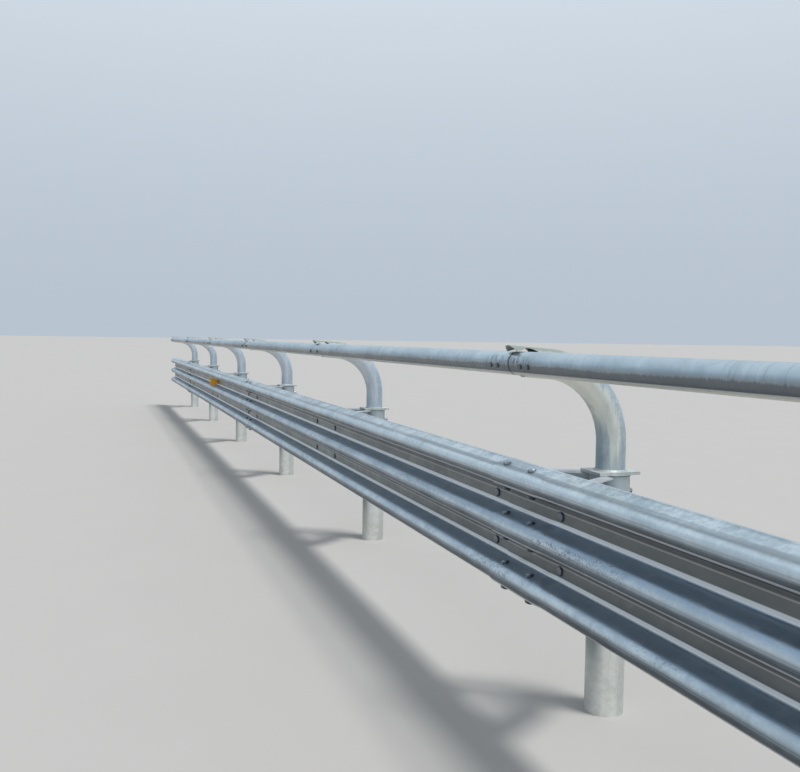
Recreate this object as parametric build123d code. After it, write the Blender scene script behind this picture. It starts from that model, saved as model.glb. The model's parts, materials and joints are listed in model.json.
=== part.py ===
from build123d import *
import math
import os

# Roadside guardrail row: a three wave beam on pipe posts, with a top rail carried
# by pipes that bend forward over the beam. Millimetres, +Z up, +X along the row,
# the road on the -Y side. The origin is on the ground at the middle post's foot.

# Row layout
bay_length = 3000.0
bay_count = 6
end_run_past = 350.0

# Driven pipe posts
post_diameter = 152.0
post_wall = 5.0

# Flange plate between the post and the pipe above it
flange_top_height = 956.0
flange_thickness = 12.0
flange_length = 140.0
flange_width = 180.0

# Bent pipe that carries the top rail
upper_pipe_diameter = 114.3
upper_pipe_wall = 4.5
pipe_rise_before_bend = 108.0
pipe_bend_angle = 86.0
pipe_axis_above_rail = 7.0
pipe_past_rail_axis = 50.0
pipe_lip_short_of_rail_axis = 17.0
pipe_mouth_set_back = 21.0

# Top rail
rail_diameter = 89.0
rail_wall = 5.5
rail_axis_height = 1370.0
rail_axis_forward = 409.0
rail_joint_gap = 4.0
sleeve_wall = 6.0
sleeve_length = 400.0
sleeve_clearance = 0.3

# Cradle plate behind the top rail
cradle_thickness = 5.0
cradle_length = 330.0
cradle_upper_angle = 48.0
cradle_lower_angle = 60.0

# Three wave beam
sheet_thickness = 4.0
beam_depth = 85.0
beam_height = 506.0
beam_middle_height = 745.0
wave_pitch = 192.0
wave_count = 3
crest_flat_half = 4.0
crest_radius = 34.0
valley_radius = 14.0
slope_angle = 72.0
splice_overlap = 320.0
splice_shift = 18.0
joggle_length = 60.0
lap_gap = 0.3
splice_hole_diameter = 22.0
splice_hole_end_distance = 62.0
splice_hole_spacing = 196.0
splice_hole_from_bend = 12.0

# Spreading bracket between the post and the beam
block_depth = 280.0
bracket_height = 350.0
bracket_top_below_flange = 1.0
bracket_thickness = 4.5
bracket_fold_radius = 8.0
bracket_hug_angle = 40.0
bracket_web_spread = 225.0
bracket_wing_width = 80.0
bracket_lip_width_at_post = 62.0

# Roadside reflector, its foot held under one of the beam's post bolts
reflector_post_number = 5
post_bolt_offset = 250.0
reflector_foot_length = 70.0
reflector_foot_height = 54.0
reflector_foot_thickness = 2.5
reflector_thickness = 6.0
reflector_reach = 94.0
reflector_front_half = 60.0

# Curved faces that meet stay this far apart
contact_gap = 0.3

# Derived places
row_half = bay_length * bay_count / 2.0
post_places = [row_half - bay_length * k for k in range(bay_count + 1)]
splice_places = [row_half - bay_length * k for k in range(1, bay_count, 2)]
row_end = row_half + end_run_past
post_radius = post_diameter / 2.0
post_top_height = flange_top_height - flange_thickness
upper_radius = upper_pipe_diameter / 2.0
rail_radius = rail_diameter / 2.0
pipe_axis_height = rail_axis_height + pipe_axis_above_rail
pipe_lean = math.tan(math.radians(90.0 - pipe_bend_angle))
pipe_climb = pipe_axis_height - flange_top_height - pipe_rise_before_bend
bend_radius = (pipe_climb - rail_axis_forward * pipe_lean) / math.tan(
    math.radians(pipe_bend_angle / 2.0)
)
cradle_inner = rail_radius + contact_gap
cradle_outer = cradle_inner + cradle_thickness
beam_back = post_radius + block_depth
bracket_top = post_top_height - bracket_top_below_flange
bracket_bottom = bracket_top - bracket_height
bracket_hug_inner = post_radius + contact_gap
bracket_hug_outer = bracket_hug_inner + bracket_thickness
bracket_hug_middle = (bracket_hug_inner + bracket_hug_outer) / 2.0
web_foot = (
    bracket_hug_middle * math.sin(math.radians(bracket_hug_angle)),
    -bracket_hug_middle * math.cos(math.radians(bracket_hug_angle)),
)
web_turn = math.atan2(-beam_back + bracket_thickness / 2.0 - web_foot[1], bracket_web_spread - web_foot[0])
web_way = (math.cos(web_turn), math.sin(web_turn))
sheet_half = sheet_thickness / 2.0
lap_shift = sheet_thickness + lap_gap

# Derived wave shape, measured on the middle of the sheet
wave_rise = beam_depth - sheet_thickness
slope_sine = math.sin(math.radians(slope_angle))
slope_cosine = math.cos(math.radians(slope_angle))
slope_rise = wave_rise - (crest_radius + valley_radius) * (1.0 - slope_cosine)
slope_run = slope_rise * slope_cosine / slope_sine
wave_side = crest_flat_half + (crest_radius + valley_radius) * slope_sine + slope_run
crest_centre_out = sheet_half + wave_rise - crest_radius
valley_centre_out = sheet_half + valley_radius
crest_heights = [
    beam_middle_height + wave_pitch * ((wave_count - 1) / 2.0 - k) for k in range(wave_count)
]
edge_reach = beam_height / 2.0 - wave_pitch * (wave_count - 1) / 2.0
edge_angle = math.degrees(math.asin((wave_side - edge_reach) / valley_radius))


def save(shape, name):
    """Write one node of the row."""
    export_step(shape, "parts/" + name + ".step")


def pipe(radius, wall, length):
    """Straight pipe along Z from the origin."""
    ring = Circle(radius) - Circle(radius - wall)
    return extrude(ring, amount=length)


def turn_point(centre_out, centre_z, radius, angle, side):
    """Point on a bend of the sheet: distance out from the beam's back, height."""
    turned = math.radians(angle)
    return (centre_out + radius * math.cos(turned), centre_z + side * radius * math.sin(turned))


def crest_turn(crest_z, shift, side, start, stop):
    """Bend at a crest for a surface lying shift in front of the sheet's middle."""
    centre_z = crest_z + side * crest_flat_half
    radius = crest_radius + shift
    middle = (start + stop) / 2.0
    spots = [
        turn_point(crest_centre_out, centre_z, radius, angle, side)
        for angle in (start, middle, stop)
    ]
    return ThreePointArc(*spots)


def valley_turn(crest_z, shift, side, start, stop):
    """Bend at a valley for a surface lying shift in front of the sheet's middle."""
    centre_z = crest_z + side * wave_side
    radius = -(valley_radius - shift)
    middle = (start + stop) / 2.0
    spots = [
        turn_point(valley_centre_out, centre_z, radius, angle, side)
        for angle in (start, middle, stop)
    ]
    return ThreePointArc(*spots)


def surface_chain(shift):
    """Edges of one face of the sheet from the top edge to the bottom edge."""
    edges = []
    for k, crest_z in enumerate(crest_heights):
        upper = edge_angle if k == 0 else 0.0
        lower = edge_angle if k == wave_count - 1 else 0.0
        pieces = [
            valley_turn(crest_z, shift, 1, upper, slope_angle),
            crest_turn(crest_z, shift, 1, slope_angle, 0.0),
            crest_turn(crest_z, shift, -1, 0.0, slope_angle),
            valley_turn(crest_z, shift, -1, slope_angle, lower),
        ]
        for piece in pieces:
            if edges:
                edges.append(Line(edges[-1] @ 1, piece @ 0))
            edges.append(piece)
    return edges


def beam_section(shift):
    """Cross section of the beam, its middle surface moved shift to the front."""
    front = surface_chain(shift + sheet_half)
    back = surface_chain(shift - sheet_half)
    top_cap = Line(back[0] @ 0, front[0] @ 0)
    bottom_cap = Line(front[-1] @ 1, back[-1] @ 1)
    return make_face(front + back + [top_cap, bottom_cap])


def beam_plane(x):
    """Plane across the row at x: local X points to the road, local Y up."""
    return Plane(origin=(x, -beam_back, 0), x_dir=(0, -1, 0), z_dir=(-1, 0, 0))


def beam_run(start, stop, shift):
    """Straight stretch of beam from start down to stop along X."""
    return extrude(beam_plane(start) * beam_section(shift), amount=start - stop)


def beam_panel(start, stop, laps_over):
    """Beam panel whose far end is set forward where it laps over the next one."""
    if not laps_over:
        return beam_run(start, stop, 0.0)
    lap_start = stop + splice_overlap
    joggle_start = lap_start + joggle_length
    joggle = loft(
        [beam_plane(joggle_start) * beam_section(0.0), beam_plane(lap_start) * beam_section(lap_shift)],
        ruled=True,
    )
    return beam_run(start, joggle_start, 0.0) + joggle + beam_run(lap_start, stop, lap_shift)


def splice_hole(x, crest_z, side):
    """Cutter for one splice hole, square to the slope beside a crest."""
    out = crest_centre_out + crest_radius * slope_cosine - splice_hole_from_bend * slope_sine
    rise = crest_flat_half + crest_radius * slope_sine + splice_hole_from_bend * slope_cosine
    centre = (x, -beam_back - out, crest_z + side * rise)
    normal = (0, -slope_cosine, side * slope_sine)
    return Plane(origin=centre, z_dir=normal) * Cylinder(splice_hole_diameter / 2.0, wave_rise / 3.0)


def end_holes(end_x, inward):
    """Cutters for the two columns of splice holes at an open end of the row."""
    cutters = []
    for distance in (splice_hole_end_distance, splice_hole_end_distance + splice_hole_spacing):
        for crest_z in crest_heights:
            for side in (1, -1):
                cutters.append(splice_hole(end_x + inward * distance, crest_z, side))
    return cutters


def make_beam_panels():
    """Panels two bays long that lap at every second post."""
    half_lap = splice_overlap / 2.0
    starts = [row_end] + [x + splice_shift + half_lap for x in splice_places]
    stops = [x + splice_shift - half_lap for x in splice_places] + [-row_end]
    panels = []
    for k, (start, stop) in enumerate(zip(starts, stops)):
        panel = beam_panel(start, stop, k < len(splice_places))
        if k == 0:
            panel = panel - end_holes(row_end, -1)
        if k == len(splice_places):
            panel = panel - end_holes(-row_end, 1)
        panels.append(panel)
    return panels


def rail_cylinder(radius, start, stop):
    """Solid cylinder on the top rail's axis from start down to stop along X."""
    place = Plane(origin=(start, -rail_axis_forward, rail_axis_height), z_dir=(-1, 0, 0))
    return extrude(place * Circle(radius), amount=start - stop)


def make_rail_tubes():
    """Top rail tubes, butted over a sleeve at every second post."""
    half_gap = rail_joint_gap / 2.0
    starts = [row_end] + [x - half_gap for x in splice_places]
    stops = [x + half_gap for x in splice_places] + [-row_end]
    return [
        rail_cylinder(rail_radius, start, stop) - rail_cylinder(rail_radius - rail_wall, start, stop)
        for start, stop in zip(starts, stops)
    ]


def make_sleeve(x):
    """Inner sleeve that bridges a joint of the top rail."""
    outer = rail_radius - rail_wall - sleeve_clearance
    start = x + sleeve_length / 2.0
    stop = x - sleeve_length / 2.0
    return rail_cylinder(outer, start, stop) - rail_cylinder(outer - sleeve_wall, start, stop)


def make_post(x):
    """Round pipe post from the ground up to its flange plate."""
    return Pos(x, 0, 0) * pipe(post_radius, post_wall, post_top_height)


def make_flange(x):
    """Flat plate on the post's head."""
    plate = Box(flange_length, flange_width, flange_thickness)
    return Pos(x, 0, flange_top_height - flange_thickness / 2.0) * plate


def bend_point(angle):
    """Point on the bent pipe's axis after it has turned forward by an angle."""
    turned = math.radians(angle)
    start = flange_top_height + pipe_rise_before_bend
    forward = bend_radius * (1.0 - math.cos(turned))
    return (0, -forward, start + bend_radius * math.sin(turned))


def pipe_mouth():
    """Cutters that shape the bent pipe's end around the top rail and its cradle."""
    block = upper_pipe_diameter * 2.0
    ledge = rail_axis_height + cradle_outer * math.sin(math.radians(cradle_upper_angle))
    tip_forward = rail_axis_forward + pipe_past_rail_axis
    tip_top = pipe_axis_height + pipe_past_rail_axis * pipe_lean + upper_radius
    seat = rail_cylinder(cradle_outer + contact_gap, upper_pipe_diameter, -upper_pipe_diameter)
    bite_axis = Plane(
        origin=(upper_pipe_diameter, -rail_axis_forward + pipe_mouth_set_back, rail_axis_height),
        z_dir=(-1, 0, 0),
    )
    bite = extrude(bite_axis * Circle(upper_radius), amount=block)
    over = Pos(0, -rail_axis_forward, ledge + block / 2.0) * Box(block, block, block)
    toe = Polyline(
        (tip_forward, tip_top),
        (tip_forward - tip_top + rail_axis_height, rail_axis_height),
        (tip_forward + block, rail_axis_height),
        (tip_forward + block, tip_top),
        close=True,
    )
    toe_plane = Plane(origin=(upper_pipe_diameter, 0, 0), x_dir=(0, -1, 0), z_dir=(-1, 0, 0))
    toe_cut = extrude(toe_plane * make_face(toe), amount=block)
    lip_forward = rail_axis_forward - pipe_lip_short_of_rail_axis
    below = Pos(0, -lip_forward - block / 2.0, rail_axis_height - block / 2.0) * Box(block, block, block)
    return [seat, bite & over, toe_cut, below]


def make_bent_post(x):
    """Pipe that rises from the flange and bends forward, its end shaped to the rail."""
    rise = Line((0, 0, flange_top_height), bend_point(0.0))
    bend = ThreePointArc(bend_point(0.0), bend_point(pipe_bend_angle / 2.0), bend_point(pipe_bend_angle))
    tip = (
        0,
        -rail_axis_forward - pipe_past_rail_axis,
        pipe_axis_height + pipe_past_rail_axis * pipe_lean,
    )
    path = Wire([rise, bend, Line(bend @ 1, tip)])
    ring = Circle(upper_radius) - Circle(upper_radius - upper_pipe_wall)
    bent = sweep(Plane(origin=(0, 0, flange_top_height)) * ring, path=path)
    return Pos(x, 0, 0) * (bent - pipe_mouth())


def cradle_sector(reach):
    """Wedge behind the top rail that the cradle plate fills."""
    upper = math.radians(cradle_upper_angle)
    lower = math.radians(cradle_lower_angle)
    wedge = Polyline(
        (0, 0),
        (-reach * math.cos(upper), reach * math.sin(upper)),
        (-reach, 0),
        (-reach * math.cos(lower), -reach * math.sin(lower)),
        close=True,
    )
    return make_face(wedge)


def make_cradle(x):
    """Curved plate behind the top rail on the end of the bent pipe."""
    ring = Circle(cradle_outer) - Circle(cradle_inner)
    section = ring & cradle_sector(rail_diameter)
    place = Plane(
        origin=(x + cradle_length / 2.0, -rail_axis_forward, rail_axis_height),
        x_dir=(0, -1, 0),
        z_dir=(-1, 0, 0),
    )
    return extrude(place * section, amount=cradle_length)


def web_point(level, across):
    """Point of the bracket's web, across from its middle line, where y is level."""
    base_x = web_foot[0] + across * web_way[1]
    base_y = web_foot[1] - across * web_way[0]
    along = (level - base_y) / web_way[1]
    return (base_x + along * web_way[0], level)


def corner_of(face, spot):
    """Vertices of a plane face that lie on a spot."""
    return [v for v in face.vertices() if math.hypot(v.X - spot[0], v.Y - spot[1]) < contact_gap / 10.0]


def web_and_wing():
    """Plan of the web and wing on the +X side, folded round in one sheet."""
    half = bracket_thickness / 2.0
    front = -beam_back
    back = front + bracket_thickness
    wing_end = bracket_web_spread + bracket_wing_width
    outer_corner = web_point(front, half)
    inner_corner = web_point(back, -half)
    outline = Polyline(
        web_point(web_foot[1], half),
        outer_corner,
        (wing_end, front),
        (wing_end, back),
        inner_corner,
        web_point(web_foot[1], -half),
        close=True,
    )
    face = make_face(outline)
    face = fillet(corner_of(face, outer_corner), bracket_fold_radius)
    return fillet(corner_of(face, inner_corner), bracket_fold_radius - bracket_thickness)


def bracket_plan():
    """Plan of the folded bracket: post hug, two splayed webs and two wings."""
    hug = math.radians(bracket_hug_angle)
    reach = bracket_hug_outer * 2.0
    wedge = Polyline(
        (0, 0),
        (reach * math.sin(hug), -reach * math.cos(hug)),
        (0, -reach * 2.0),
        (-reach * math.sin(hug), -reach * math.cos(hug)),
        close=True,
    )
    plan = (Circle(bracket_hug_outer) - Circle(bracket_hug_inner)) & make_face(wedge)
    side_plan = web_and_wing()
    plan = plan + side_plan + mirror(side_plan, about=Plane.YZ)
    return plan - Circle(bracket_hug_inner)


def fold_bars(level, way):
    """Bars that round the fold between the +X web and its lip: one to cut, one to add."""
    half = bracket_thickness / 2.0
    inner_radius = bracket_fold_radius - bracket_thickness
    centre_x = half - bracket_fold_radius
    centre_y = way * bracket_fold_radius
    place = Plane(
        origin=(web_foot[0], web_foot[1], level),
        x_dir=(web_way[1], -web_way[0], 0),
        z_dir=(web_way[0], web_way[1], 0),
    )
    length = math.hypot(bracket_web_spread - web_foot[0], beam_back + web_foot[1]) - bracket_fold_radius
    outer_square = Rectangle(bracket_fold_radius, bracket_fold_radius)
    outer_spot = Pos(centre_x + bracket_fold_radius / 2.0, centre_y - way * bracket_fold_radius / 2.0)
    outer = outer_spot * outer_square - Pos(centre_x, centre_y) * Circle(bracket_fold_radius)
    inner_square = Rectangle(inner_radius, inner_radius)
    inner_spot = Pos(centre_x + inner_radius / 2.0, centre_y - way * inner_radius / 2.0)
    inner = inner_spot * inner_square - Pos(centre_x, centre_y) * Circle(inner_radius)
    return extrude(place * outer, amount=length), extrude(place * inner, amount=length)


def make_bracket(x):
    """Bracket that holds the beam clear of the post, with lips folded outward."""
    solid = extrude(Plane(origin=(0, 0, bracket_bottom)) * bracket_plan(), amount=bracket_height)
    front = -beam_back + bracket_thickness / 2.0
    for side in (1, -1):
        lip = Polyline(
            (side * web_foot[0], web_foot[1]),
            (side * (web_foot[0] + bracket_lip_width_at_post), web_foot[1]),
            (side * (bracket_web_spread + bracket_wing_width), front),
            (side * bracket_web_spread, front),
            close=True,
        )
        lip_face = make_face(lip)
        for level in (bracket_bottom, bracket_top - bracket_thickness):
            solid = solid + extrude(Plane(origin=(0, 0, level)) * lip_face, amount=bracket_thickness)
    for level, way in ((bracket_top, 1), (bracket_bottom, -1)):
        cut, add = fold_bars(level, way)
        solid = solid + add + mirror(add, about=Plane.YZ)
        solid = solid - cut - mirror(cut, about=Plane.YZ)
    return Pos(x, 0, 0) * solid


def make_reflector(x):
    """Folded plate in the upper valley, standing across the beam to face traffic."""
    valley_z = crest_heights[0] - wave_pitch / 2.0
    valley_face = -beam_back - sheet_thickness
    foot = Pos(
        x + reflector_foot_length / 2.0,
        valley_face - reflector_foot_thickness / 2.0,
        valley_z,
    ) * Box(reflector_foot_length, reflector_foot_thickness, reflector_foot_height)
    foot_half = reflector_foot_height / 2.0
    waist = reflector_reach * 0.65
    shoulder = reflector_reach * 0.8
    outline = Polyline(
        (0, foot_half),
        (waist, foot_half + (reflector_front_half - foot_half) / 2.0),
        (shoulder, reflector_front_half),
        (reflector_reach, reflector_front_half),
        (reflector_reach, -reflector_front_half),
        (shoulder, -reflector_front_half),
        (waist, -foot_half - (reflector_front_half - foot_half) / 2.0),
        (0, -foot_half),
        close=True,
    )
    place = Plane(origin=(x, valley_face, valley_z), x_dir=(0, -1, 0), z_dir=(-1, 0, 0))
    return foot + extrude(place * make_face(outline), amount=reflector_thickness)


def main():
    """Build every node of the row and write its file."""
    os.makedirs("parts", exist_ok=True)
    for k, x in enumerate(post_places, start=1):
        save(make_post(x), "lower_post_" + str(k))
        save(make_bent_post(x), "bent_post_" + str(k))
        save(make_bracket(x), "beam_bracket_" + str(k))
    save(Compound([make_flange(x) for x in post_places]), "flange_plates")
    save(Compound([make_cradle(x) for x in post_places]), "rail_cradles")
    for k, panel in enumerate(make_beam_panels(), start=1):
        save(panel, "beam_panel_" + str(k))
    for k, tube in enumerate(make_rail_tubes(), start=1):
        save(tube, "top_rail_" + str(k))
    save(Compound([make_sleeve(x) for x in splice_places]), "rail_sleeves")
    foot_start = post_bolt_offset - reflector_foot_length / 2.0
    reflector_post_place = row_half - bay_length * (reflector_post_number - 1)
    save(make_reflector(reflector_post_place + foot_start), "reflector")


main()
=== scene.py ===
"""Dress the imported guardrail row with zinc, bolts, welds and reflector faces, on a plain studio floor."""

import json
import logging
import math
from dataclasses import dataclass, field
from enum import Enum
from functools import reduce

import bmesh
import bpy
from mathutils import Matrix, Vector

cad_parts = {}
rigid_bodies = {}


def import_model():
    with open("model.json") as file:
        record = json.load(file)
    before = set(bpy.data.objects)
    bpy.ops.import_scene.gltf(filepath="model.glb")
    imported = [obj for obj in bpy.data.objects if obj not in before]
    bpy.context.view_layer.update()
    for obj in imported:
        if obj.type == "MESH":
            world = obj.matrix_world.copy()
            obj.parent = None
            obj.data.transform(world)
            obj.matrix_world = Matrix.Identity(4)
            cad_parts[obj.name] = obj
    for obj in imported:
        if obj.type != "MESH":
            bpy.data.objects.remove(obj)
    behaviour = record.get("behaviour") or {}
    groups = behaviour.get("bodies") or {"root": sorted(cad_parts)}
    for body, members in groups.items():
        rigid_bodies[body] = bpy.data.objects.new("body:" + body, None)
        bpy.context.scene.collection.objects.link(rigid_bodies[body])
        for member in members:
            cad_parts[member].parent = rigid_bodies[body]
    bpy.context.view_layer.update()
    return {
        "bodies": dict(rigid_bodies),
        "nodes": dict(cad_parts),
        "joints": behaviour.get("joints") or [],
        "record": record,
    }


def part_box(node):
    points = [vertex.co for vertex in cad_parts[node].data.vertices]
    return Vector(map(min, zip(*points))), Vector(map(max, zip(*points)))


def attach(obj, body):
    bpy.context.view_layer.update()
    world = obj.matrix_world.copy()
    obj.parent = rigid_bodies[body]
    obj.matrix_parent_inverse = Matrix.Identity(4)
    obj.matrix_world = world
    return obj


LOG = logging.getLogger("guardrail")
UP = Vector((0.0, 0.0, 1.0))
TO_ROAD = Vector((0.0, -1.0, 0.0))

Node = bpy.types.Node
Triple = tuple[float, float, float]
Span = tuple[float, float]

NUMBER = "NodeSocketFloat"
COLOUR = "NodeSocketColor"
VECTOR = "NodeSocketVector"


class HeadShape(Enum):
    """Shapes that a bolt's head comes in."""

    DOMED = "domed"
    HEX = "hex"


class RunAxis(Enum):
    """Ways in which the zinc ran off a piece, as the fineness of its streaks along each axis."""

    DOWN = (55.0, 55.0, 2.4)
    ROUND_THE_TUBE = (70.0, 3.0, 3.0)
    ALONG_THE_ROW = (0.55, 60.0, 60.0)


@dataclass(frozen=True)
class RowSizes:
    """Sizes that the row's source gives, in metres."""

    bay: float = 3.0
    bays: int = 6
    post_radius: float = 0.076
    post_top: float = 0.944
    flange_top: float = 0.956
    upper_radius: float = 0.05715
    pipe_axis_height: float = 1.377
    pipe_lean: float = math.radians(4.0)
    rail_radius: float = 0.0445
    rail_height: float = 1.370
    rail_out: float = 0.409
    cradle_back: float = 0.0498
    cradle_upper: float = math.radians(48.0)
    cradle_lower: float = math.radians(60.0)
    beam_back: float = 0.356
    sheet: float = 0.004
    lap: float = 0.0043
    beam_middle: float = 0.745
    wave_pitch: float = 0.192
    crest_radius: float = 0.034
    crest_flat: float = 0.004
    beam_depth: float = 0.085
    slope: float = math.radians(72.0)
    bracket_top: float = 0.943
    bracket_height: float = 0.350
    bracket_sheet: float = 0.0045
    post_bolt_offset: float = 0.250
    splice_bolt_offset: float = 0.098
    splice_shift: float = 0.018
    splice_bolt_from_bend: float = 0.012
    reflector_post: int = 4

    @property
    def posts(self) -> list[float]:
        """Places of the posts along the row, nearest first."""
        half = self.bay * self.bays / 2.0
        return [half - self.bay * k for k in range(self.bays + 1)]

    @property
    def splices(self) -> list[float]:
        """Places of the beam's and the top rail's joints."""
        return self.posts[1::2]

    @property
    def crests(self) -> list[float]:
        """Heights of the beam's three crests, top first."""
        return [self.beam_middle + self.wave_pitch * (1 - k) for k in range(3)]

    @property
    def valleys(self) -> list[float]:
        """Heights of the beam's two valleys, top first."""
        return [self.beam_middle + self.wave_pitch * (0.5 - k) for k in range(2)]

    def splice_seat(self, crest: float, side: int) -> tuple[Vector, Vector]:
        """Place of a splice bolt on a slope beside a crest.

        Args:
            crest: Height of the crest.
            side: 1 for the slope above it, -1 for the one below.

        Returns:
            The point on the sheet's middle at x = 0, and the way it faces.
        """
        sine, cosine = math.sin(self.slope), math.cos(self.slope)
        out = self.beam_depth - self.sheet / 2.0 - self.crest_radius * (1.0 - cosine)
        out -= self.splice_bolt_from_bend * sine
        up = self.crest_flat + self.crest_radius * sine + self.splice_bolt_from_bend * cosine
        return Vector((0.0, -self.beam_back - out, crest + side * up)), Vector((0.0, -cosine, side * sine))


# Nodes and finishes


class Field:
    """A value that changes over a surface, on which arithmetic places the nodes that it takes."""

    def __init__(self, tree: "Tree", socket: bpy.types.NodeSocket) -> None:
        """Keep the tree, and the socket that the value comes from."""
        self.tree = tree
        self.socket = socket

    def __add__(self, other: "Reading") -> "Field":
        """Add another value."""
        return self.tree.sums("ADD", self, other)

    def __sub__(self, other: "Reading") -> "Field":
        """Take another value away."""
        return self.tree.sums("SUBTRACT", self, other)

    def __rsub__(self, other: float) -> "Field":
        """Take the value away from a number."""
        return self.tree.sums("SUBTRACT", other, self)

    def __mul__(self, other: "Reading") -> "Field":
        """Multiply by another value."""
        return self.tree.sums("MULTIPLY", self, other)

    def __mod__(self, step: float) -> "Field":
        """Start again from nought at each step."""
        return self.tree.sums("MODULO", self, step)

    def __abs__(self) -> "Field":
        """Leave off the sign."""
        return self.tree.sums("ABSOLUTE", self)

    def most(self, *others: "Field") -> "Field":
        """Take the largest of this value and others."""
        return reduce(lambda first, second: self.tree.sums("MAXIMUM", first, second), others, self)

    def swayed(self, noise: "Field", reach: "Reading") -> "Field":
        """Push the value to and fro by a noise that lies around one half."""
        return self + (noise - 0.5) * reach

    def ramp(self, span: Span, reach: Span = (0.0, 1.0)) -> "Field":
        """Ramp smoothly as the value crosses a span.

        Args:
            span: The values at which the ramp starts and ends.
            reach: What it gives at its start and its end.

        Returns:
            The ramp.
        """
        names = ("Value", "From Min", "From Max", "To Min", "To Max")
        inputs = dict(zip(names, (self, *span, *reach)))
        return self.tree.read("Result", "ShaderNodeMapRange", inputs, interpolation_type="SMOOTHSTEP")


Reading = Field | float | Triple
Inputs = dict[str | int, Reading]


class Tree:
    """Short hand for placing and joining the nodes of one tree."""

    mix_inputs = (0, 6, 7)
    mix_result = 2

    def __init__(self, tree: bpy.types.NodeTree) -> None:
        """Keep the tree that is worked on."""
        self.tree = tree

    def put(self, kind: str, inputs: Inputs | None = None, **values: object) -> Node:
        """Place a node.

        Args:
            kind: Blender's type name of the node.
            inputs: What each input takes, by name or number.
            values: Properties to set on the node before its inputs.

        Returns:
            The node.
        """
        node = self.tree.nodes.new(kind)
        for name, value in values.items():
            setattr(node, name, value)
        self.feed(node, inputs or {})
        return node

    def feed(self, node: Node, inputs: Inputs) -> None:
        """Join values to a node's inputs, or set them to numbers, places or opaque tones.

        Args:
            node: The node.
            inputs: What each input takes, by name or number.
        """
        for name, source in inputs.items():
            target = node.inputs[name]
            if isinstance(source, Field):
                self.tree.links.new(source.socket, target)
            elif target.type == "RGBA":
                target.default_value = (*source, 1.0)
            else:
                target.default_value = source

    def read(self, output: str | int, kind: str, inputs: Inputs | None = None, **values: object) -> Field:
        """Place a node and read one of its outputs."""
        return Field(self, self.put(kind, inputs, **values).outputs[output])

    def reads(self, kind: str, inputs: Inputs | None = None, **values: object) -> dict[str, Field]:
        """Place a node and read all its outputs, by name."""
        return {socket.name: Field(self, socket) for socket in self.put(kind, inputs, **values).outputs}

    def sums(self, operation: str, *inputs: Reading) -> Field:
        """Do one step of arithmetic."""
        return self.read(0, "ShaderNodeMath", dict(enumerate(inputs)), operation=operation)

    def mix(self, factor: Field, first: Reading, second: Reading) -> Field:
        """Mix two colours or plain tones."""
        inputs = dict(zip(self.mix_inputs, (factor, first, second)))
        return self.read(self.mix_result, "ShaderNodeMix", inputs, data_type="RGBA")

    def noise(
        self, where: Field, fine: Reading, detail: float = 4.0, rough: float = 0.5, bend: float = 0.0
    ) -> Field:
        """Read cloud noise around one half.

        Args:
            where: Where it is read.
            fine: How fine its clouds are, as one number or one for each axis.
            detail: How many finer layers it has.
            rough: How strong the finer layers are.
            bend: How far it is warped.

        Returns:
            The noise.
        """
        if not isinstance(fine, float):
            where = self.read(0, "ShaderNodeVectorMath", {0: where, 1: fine}, operation="MULTIPLY")
            fine = 1.0
        names = ("Vector", "Scale", "Detail", "Roughness", "Distortion")
        return self.read("Fac", "ShaderNodeTexNoise", dict(zip(names, (where, fine, detail, rough, bend))))

    def axes(self, way: Field) -> list[Field]:
        """Split a place or a way into its parts along X, Y and Z."""
        return list(self.reads("ShaderNodeSeparateXYZ", {0: way}).values())

    def normal(self) -> Field:
        """Read the way that the surface faces."""
        return self.read("Normal", "ShaderNodeNewGeometry")

    def facing(self, way: Triple) -> Field:
        """Tell how squarely the surface faces a way, from -1 to 1."""
        return self.read("Value", "ShaderNodeVectorMath", {0: self.normal(), 1: way}, operation="DOT_PRODUCT")

    def bump(self, height: Field, strength: float, distance: float) -> Field:
        """Turn a height into the normal of a bumpy surface."""
        inputs = {"Height": height, "Strength": strength, "Distance": distance}
        return self.read("Normal", "ShaderNodeBump", inputs)


def new_group(name: str, takes: dict[str, str], gives: dict[str, str]) -> tuple[Tree, dict[str, Field], Node]:
    """Start a shader node group.

    Args:
        name: Name of the effect.
        takes: Socket type of each input, by name.
        gives: Socket type of each output, by name.

    Returns:
        The tree, the values that come in, and the node that takes what goes out.
    """
    group = bpy.data.node_groups.new(name, "ShaderNodeTree")
    for way, sockets in (("INPUT", takes), ("OUTPUT", gives)):
        for label, kind in sockets.items():
            group.interface.new_socket(label, in_out=way, socket_type=kind)
    tree = Tree(group)
    return tree, tree.reads("NodeGroupInput"), tree.put("NodeGroupOutput")


def new_material(name: str) -> tuple[bpy.types.Material, Tree, Field, Node]:
    """Start a material.

    Args:
        name: Name of the finish.

    Returns:
        The material, its tree, the place on the row, and the shader.
    """
    material = bpy.data.materials.new(name)
    material.use_nodes = True
    tree = Tree(material.node_tree)
    place = tree.read("Object", "ShaderNodeTexCoord")
    return material, tree, place, material.node_tree.nodes["Principled BSDF"]


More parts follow.
